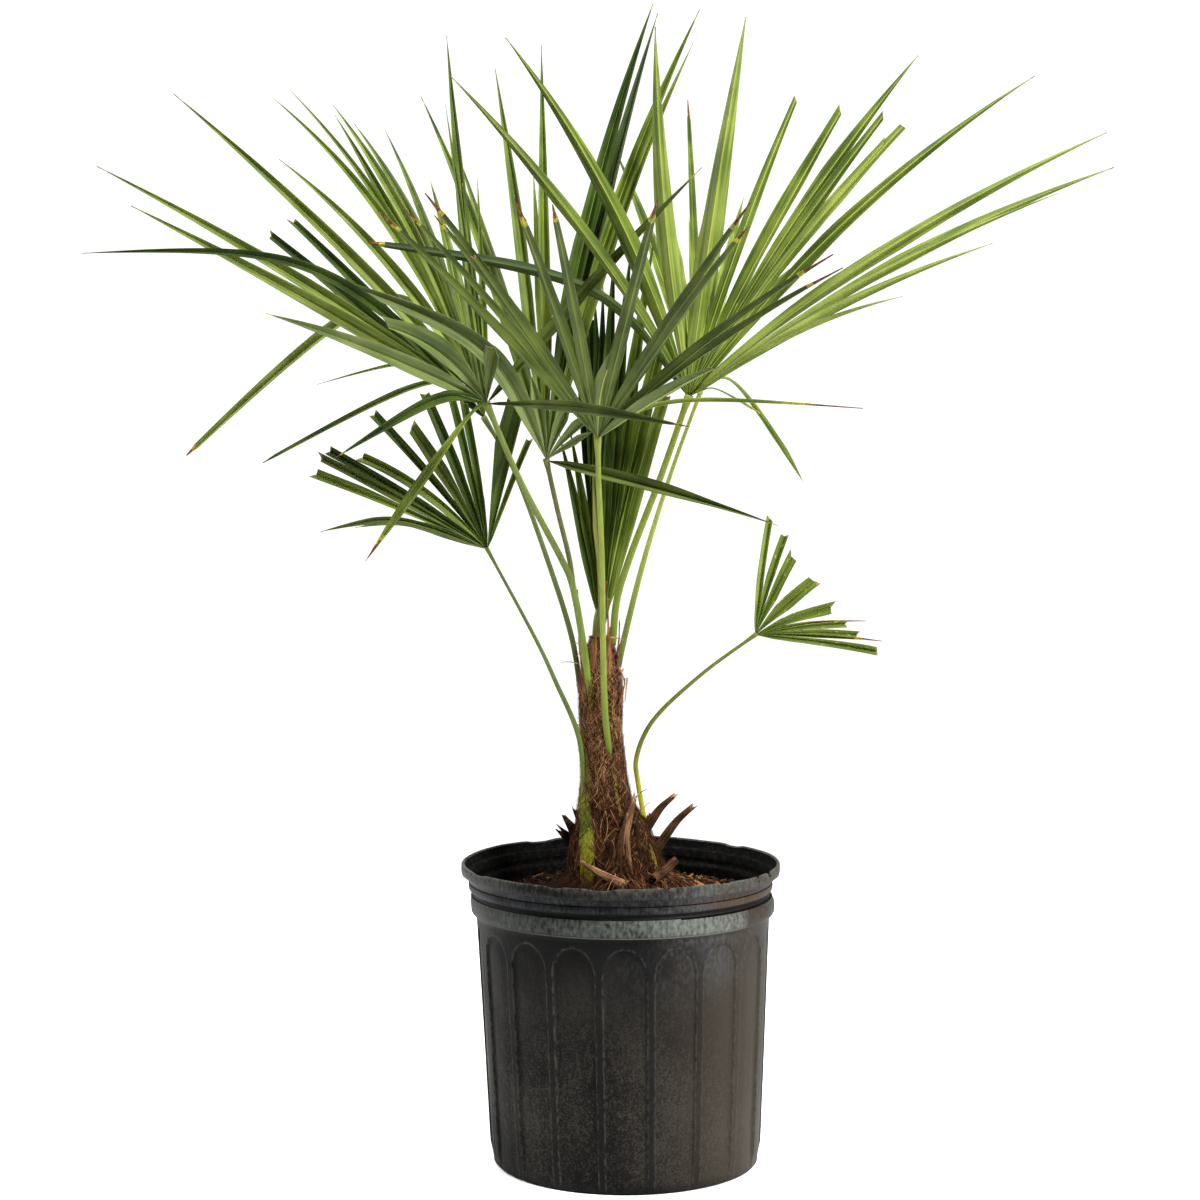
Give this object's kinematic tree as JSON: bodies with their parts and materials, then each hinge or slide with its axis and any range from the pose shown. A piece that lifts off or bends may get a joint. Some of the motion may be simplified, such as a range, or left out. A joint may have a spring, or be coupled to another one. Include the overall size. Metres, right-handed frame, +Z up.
{
  "type": "potted windmill palm",
  "caption": "Young fan palm with a fibrous trunk, long-stalked fan fronds and trimmed lower leaves, in a black fluted nursery pot.",
  "frame": {"origin": "centre of the pot's flat underside", "axes": "+Z up along the pot's axis, -Y towards the front of the plant, +X to the right as seen from the front"},
  "size_m": [0.906, 0.86, 1.099],
  "materials": {
    "pot": "dusty black plastic",
    "soil": "dark bark and peat mix",
    "trunk": "rough brown fibre",
    "stalk": "smooth yellow-green stalk",
    "leaf": "satin green leaf"
  },
  "bodies": {
    "root": {"pot": "pot", "soil": "soil", "trunk": "trunk", "stalk_front": "stalk", "fan_front": "leaf", "stalk_right": "stalk", "fan_right": "leaf", "stalk_right_back": "stalk", "fan_right_back": "leaf", "stalk_left_centre": "stalk", "fan_left_centre": "leaf", "stalk_left": "stalk", "fan_left": "leaf", "stalk_left_back": "stalk", "fan_left_back": "leaf", "stalk_low_left": "stalk", "fan_low_left": "leaf", "stalk_low_right": "stalk", "fan_low_right": "leaf", "stalk_centre": "stalk", "fan_centre": "leaf"}
  },
  "joints": []
}
